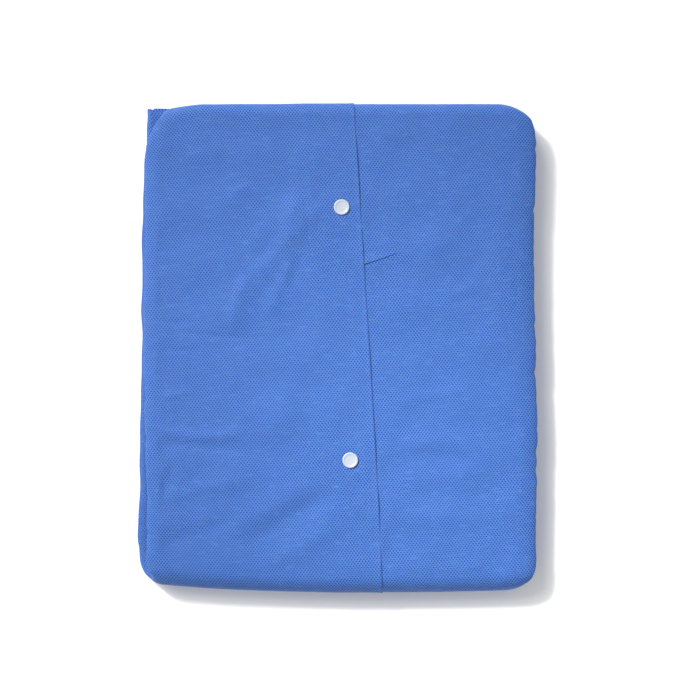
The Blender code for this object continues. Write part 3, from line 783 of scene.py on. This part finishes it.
def hem_layers(material):
    """The cut edges of the layers at the hem's open end: thin sheets over each other, each a closed
    outline of its thickness carried across the coat, with its own reach and slow waves. A sheet is
    shorter at its sides by the round of the side fold at its height."""
    y_end, _ = middle_line(np.array([HEM_EDGE]))
    pieces = []
    pick = np.random.default_rng(LAYER_SEED)
    left, right = side_edges(np.array([HEM_EDGE]))
    turn = np.linspace(0.0, 2 * math.pi, 13)
    for layer in range(HEM_SHEETS):
        middle = SHEET_LOWEST + layer * (PITCH - 1.5) / HEM_SHEETS
        reach = y_end[0] - 0.2 - SHEET_SHORTEST * pick.random() * (layer < HEM_SHEETS - 1)
        rounding = 1.0 - math.sqrt(1.0 - ((middle - HEM_Z) / HALF_THICK) ** 2)
        side = ROLL_HEM[0] * rounding + SHEET_SIDE_ROOM
        x = np.linspace(left[0] + side, right[0] - side - SHEET_UNEVEN * pick.random(), 150)
        out = reach + ripple(x, 0 * x, REACH_SEED + layer, *REACH_WAVES)
        lift = middle + ripple(x, 0 * x, LIFT_SEED + layer, *LIFT_WAVES)
        outline_y = np.where(np.cos(turn) > 0, 0.2 * np.cos(turn), SHEET_DEPTH * np.cos(turn))
        y = outline_y[None, :] + out[:, None]
        z = SHEET_HALF * np.sin(turn)[None, :] + lift[:, None]
        x = x[:, None] * np.ones(y.shape)
        grid = settle(np.stack([x, y, z], axis=-1))
        for end in (0, -1):
            grid[end] = grid[end].mean(axis=0)
        cloth = np.stack([x, y], axis=-1) * MM + np.array([CLOTH_ORIGIN[0], SHEET_SHIFT * layer])
        piece = make_surface("hem_layer_%d" % (layer + 1), grid, cloth, material)
        close_seams(piece)
        pieces.append(piece)
    return pieces


def join(tree, target, value):
    """Sets a socket, or joins it to another."""
    if isinstance(value, bpy.types.NodeSocket):
        tree.links.new(value, target)
    else:
        target.default_value = value


def mix(tree, factor, first, second):
    """The first colour, and the second in its place by the factor."""
    node = tree.nodes.new("ShaderNodeMix")
    node.data_type = "RGBA"
    join(tree, node.inputs[0], factor)
    join(tree, node.inputs[6], first)
    join(tree, node.inputs[7], second)
    return node.outputs[2]


def maths(tree, kind, first, second=0.0, third=0.0):
    """A math node's result."""
    node = tree.nodes.new("ShaderNodeMath")
    node.operation = kind
    for socket, value in zip(node.inputs, (first, second, third)):
        join(tree, socket, value)
    return node.outputs[0]


def ramp(tree, value, low, high):
    """value taken from low..high to 0..1 with soft ends."""
    node = tree.nodes.new("ShaderNodeMapRange")
    node.interpolation_type = "SMOOTHSTEP"
    join(tree, node.inputs["Value"], value)
    node.inputs["From Min"].default_value = low
    node.inputs["From Max"].default_value = high
    return node.outputs["Result"]


def noise(tree, place, scale, detail, roughness=0.5, stretch=None):
    """A noise texture at scale features a metre, drawn out where its stretch is below 1."""
    if stretch is not None:
        mapping = tree.nodes.new("ShaderNodeMapping")
        tree.links.new(place, mapping.inputs["Vector"])
        mapping.inputs["Scale"].default_value = stretch
        place = mapping.outputs["Vector"]
    node = tree.nodes.new("ShaderNodeTexNoise")
    tree.links.new(place, node.inputs["Vector"])
    node.inputs["Scale"].default_value = scale
    node.inputs["Detail"].default_value = detail
    node.inputs["Roughness"].default_value = roughness
    return node.outputs["Fac"]


def new_material(name):
    """A material, its node tree and its shader."""
    material = bpy.data.materials.new(name)
    material.use_nodes = True
    return material, material.node_tree, material.node_tree.nodes["Principled BSDF"]


def set_inputs(node, values):
    """Sets a node's sockets, given by their names."""
    for socket, value in values.items():
        node.inputs[socket].default_value = value


def raise_bump(tree, shader, height, strength, distance):
    """Joins a height to the shader's normal."""
    bump = tree.nodes.new("ShaderNodeBump")
    set_inputs(bump, {"Strength": strength, "Distance": distance})
    tree.links.new(height, bump.inputs["Height"])
    tree.links.new(bump.outputs["Normal"], shader.inputs["Normal"])


def embossed_dots(tree, place):
    """1 inside each embossed dot and 0 between them. The dots stand on two even lattices, one in
    the gaps of the other; a point's distance to the nearest dot of each comes from folding its
    coordinates back and forth over half a pitch."""
    split = tree.nodes.new("ShaderNodeSeparateXYZ")
    tree.links.new(place, split.inputs[0])
    half_x = DOT_PITCH_X / 2 * MM
    half_y = DOT_PITCH_Y / 2 * MM
    near_x = maths(tree, "PINGPONG", split.outputs[0], half_x)
    near_y = maths(tree, "PINGPONG", split.outputs[1], half_y)
    far_x = maths(tree, "SUBTRACT", half_x, near_x)
    far_y = maths(tree, "SUBTRACT", half_y, near_y)
    distances = []
    for along_x, along_y in ((near_x, near_y), (far_x, far_y)):
        x = maths(tree, "DIVIDE", along_x, DOT_WIDTH / 2 * MM)
        y = maths(tree, "DIVIDE", along_y, DOT_HEIGHT / 2 * MM)
        square = maths(tree, "MULTIPLY", x, x)
        square = maths(tree, "MULTIPLY_ADD", y, y, square)
        distances.append(maths(tree, "SQRT", square))
    nearest = maths(tree, "MINIMUM", distances[0], distances[1])
    return ramp(tree, nearest, 1.35, 0.55)


def nonwoven(name, tone):
    """Spunbond cloth: a lighter fibre ground and darker pressed dots, clouded where the fibres lie
    thicker. The dots are pressed in and the fibres raised by the bump."""
    material, tree, shader = new_material(name)
    cloth = tree.nodes.new("ShaderNodeUVMap")
    cloth.uv_map = "cloth"
    place = cloth.outputs["UV"]
    uneven = noise(tree, place, 420.0, 2.0, stretch=(0.25, 1.0, 1.0))
    pressed = maths(tree, "MULTIPLY", embossed_dots(tree, place), ramp(tree, uneven, 0.05, 0.5))
    fibres = noise(tree, place, 1500.0, 4.0, roughness=0.7)
    clouds = noise(tree, place, 75.0, 4.0, roughness=0.6, stretch=(0.4, 1.0, 1.0))
    streaks = noise(tree, place, 260.0, 3.0, roughness=0.6, stretch=(0.3, 1.0, 1.0))
    crumple = noise(tree, place, 190.0, 2.0, stretch=(0.22, 1.0, 1.0))
    ground = [c * tone for c in GROUND_BLUE] + [1.0]
    dot = [c * tone for c in DOT_BLUE] + [1.0]
    clouded = [c * CLOUD_SHADE * tone for c in GROUND_BLUE] + [1.0]
    colour = mix(tree, pressed, ground, dot)
    raised = maths(tree, "MULTIPLY", ramp(tree, fibres, 0.25, 0.75), 0.1)
    colour = mix(tree, raised, colour, FIBRE_BLUE)
    dark = maths(tree, "MULTIPLY", ramp(tree, clouds, 0.75, 0.3), 0.12)
    colour = mix(tree, dark, colour, clouded)
    light = maths(tree, "MULTIPLY", ramp(tree, streaks, 0.5, 0.85), 0.06)
    colour = mix(tree, light, colour, STREAK_BLUE)
    tree.links.new(colour, shader.inputs["Base Color"])
    rough = maths(tree, "MULTIPLY_ADD", pressed, -0.12, 0.66)
    rough = maths(tree, "MULTIPLY_ADD", fibres, 0.1, rough)
    tree.links.new(rough, shader.inputs["Roughness"])
    set_inputs(
        shader,
        {
            "Metallic": 0.0,
            "IOR": 1.49,
            "Specular IOR Level": 0.2,
            "Sheen Weight": 0.02,
            "Sheen Roughness": 0.5,
            "Subsurface Weight": 0.45,
            "Subsurface Radius": (0.06, 0.25, 1.5),
            "Subsurface Scale": 0.001,
        },
    )
    height = maths(tree, "MULTIPLY_ADD", pressed, -1.0, maths(tree, "MULTIPLY", fibres, 0.35))
    height = maths(tree, "MULTIPLY_ADD", crumple, 2.2, height)
    raise_bump(tree, shader, height, 0.55, 0.00012)
    return material


def snap_plastic(name):
    """Milky white moulded plastic, a little bluish, with fine scuffs that roughen it."""
    material, tree, shader = new_material(name)
    place = tree.nodes.new("ShaderNodeTexCoord").outputs["Object"]
    scuffs = noise(tree, place, 900.0, 3.0)
    milk = noise(tree, place, 260.0, 2.0)
    colour = mix(tree, milk, SNAP_WHITE, SNAP_MILK)
    tree.links.new(colour, shader.inputs["Base Color"])
    rough = maths(tree, "MULTIPLY_ADD", scuffs, 0.2, 0.26)
    tree.links.new(rough, shader.inputs["Roughness"])
    set_inputs(
        shader,
        {"IOR": 1.49, "Subsurface Weight": 0.15, "Subsurface Radius": (0.001, 0.001, 0.001)},
    )
    raise_bump(tree, shader, scuffs, 0.2, 0.00005)
    return material


def floor_and_light():
    """A pale floor, pale air, a soft light from the upper left, and a pool of light with the same
    direction that is brightest towards the lower right."""
    mesh = bpy.data.meshes.new("floor")
    corners = [(FLOOR_HALF * x, FLOOR_HALF * y, 0) for x, y in ((-1, -1), (1, -1), (1, 1), (-1, 1))]
    mesh.from_pydata(corners, [], [(0, 1, 2, 3)])
    floor = bpy.data.objects.new("floor", mesh)
    bpy.context.scene.collection.objects.link(floor)
    pale, _, shader = new_material("pale_floor")
    set_inputs(
        shader,
        {"Base Color": (0.97, 0.97, 0.97, 1), "Roughness": 0.9, "Specular IOR Level": 0.1},
    )
    mesh.materials.append(pale)
    away = np.array(LIGHT_FROM) / np.linalg.norm(LIGHT_FROM)
    sun = bpy.data.lights.new("key light", "SUN")
    sun.energy = 1.9
    sun.angle = 0.6
    pool = bpy.data.lights.new("pool of light", "SPOT")
    pool.energy = 410.0
    pool.spot_size = math.radians(16.0)
    pool.spot_blend = 1.0
    pool.shadow_soft_size = 0.24
    for light in (sun, pool):
        lamp = bpy.data.objects.new(light.name, light)
        lamp.location = np.array(LIGHT_AIM) + LIGHT_DISTANCE * away
        lamp.rotation_euler = (math.acos(away[2]), 0.0, math.atan2(away[0], -away[1]))
        bpy.context.scene.collection.objects.link(lamp)
    world = bpy.data.worlds.new("pale air")
    world.use_nodes = True
    set_inputs(world.node_tree.nodes["Background"], {"Color": (1.0, 1.0, 1.0, 1), "Strength": 0.6})
    bpy.context.scene.world = world
    bpy.context.scene.view_settings.view_transform = "Standard"


def camera_above():
    """Straight above the coat, at the photo's framing: about 536 mm across at the top face."""
    camera = bpy.data.cameras.new("camera")
    camera.lens = 100.0
    camera.sensor_width = 36.0
    thing = bpy.data.objects.new("camera", camera)
    thing.location = CAMERA_PLACE
    bpy.context.scene.collection.objects.link(thing)
    bpy.context.scene.camera = thing


def main():
    """Builds the finish on the frame."""
    front_cloth = nonwoven("nonwoven_right", 1.0)
    under_cloth = nonwoven("nonwoven_left", 1.0)
    # The hidden layers and hem sheets use the same cloth at 0.95 tone: painted shade for the layers
    # lying deeper in the pack
    shaded_inner_cloth = nonwoven("nonwoven_inner", 0.95)
    plastic = snap_plastic("snap_plastic")
    right = right_front(front_cloth)
    left = left_front(under_cloth)
    layers = folded_layers(shaded_inner_cloth)
    upper = snap_cap("upper_snap", SNAPS[0], plastic)
    lower = snap_cap("lower_snap", SNAPS[1], plastic)
    hems = hem_layers(shaded_inner_cloth)
    fold = tuck(under_cloth)
    for piece, node, slot in (
        (right, "right_front", "blue_nonwoven"),
        (left, "left_front", "blue_nonwoven_left"),
        (layers, "folded_layers", "blue_nonwoven_inner"),
        (upper, "upper_snap_cap", "white_snap_plastic"),
        (lower, "lower_snap_cap", "white_snap_plastic_lower"),
    ):
        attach(piece, "root")
        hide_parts(node)
    for piece in hems:
        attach(piece, "root")
    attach(fold, "root")
    floor_and_light()
    camera_above()


main()
